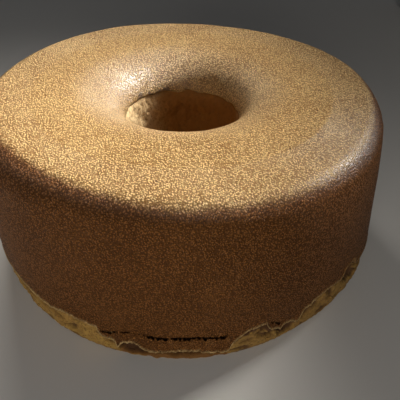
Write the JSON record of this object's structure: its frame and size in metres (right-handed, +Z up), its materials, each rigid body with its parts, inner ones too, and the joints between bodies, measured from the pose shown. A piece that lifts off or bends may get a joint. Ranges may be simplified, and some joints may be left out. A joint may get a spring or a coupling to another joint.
{
  "type": "tube pan pound cake",
  "caption": "Whole ring-shaped pound cake turned out of a tube pan, with a browned crust, a rolled lip round its hole and a torn foot.",
  "frame": {"origin": "middle of the flat foot the cake stands on", "axes": "+Z up through the hole, -Y towards the side the picture shows, +X to the picture's right"},
  "size_m": [0.233, 0.2317, 0.0984],
  "materials": {
    "crust": "golden brown baked crust, fine sandy grain, faint buttery sheen; matte plastic stands in for baked crumb",
    "crumb": "pale yellow open crumb, matte; matte plastic stands in for it"
  },
  "bodies": {
    "root": {"pound_cake": "crust"}
  },
  "joints": []
}
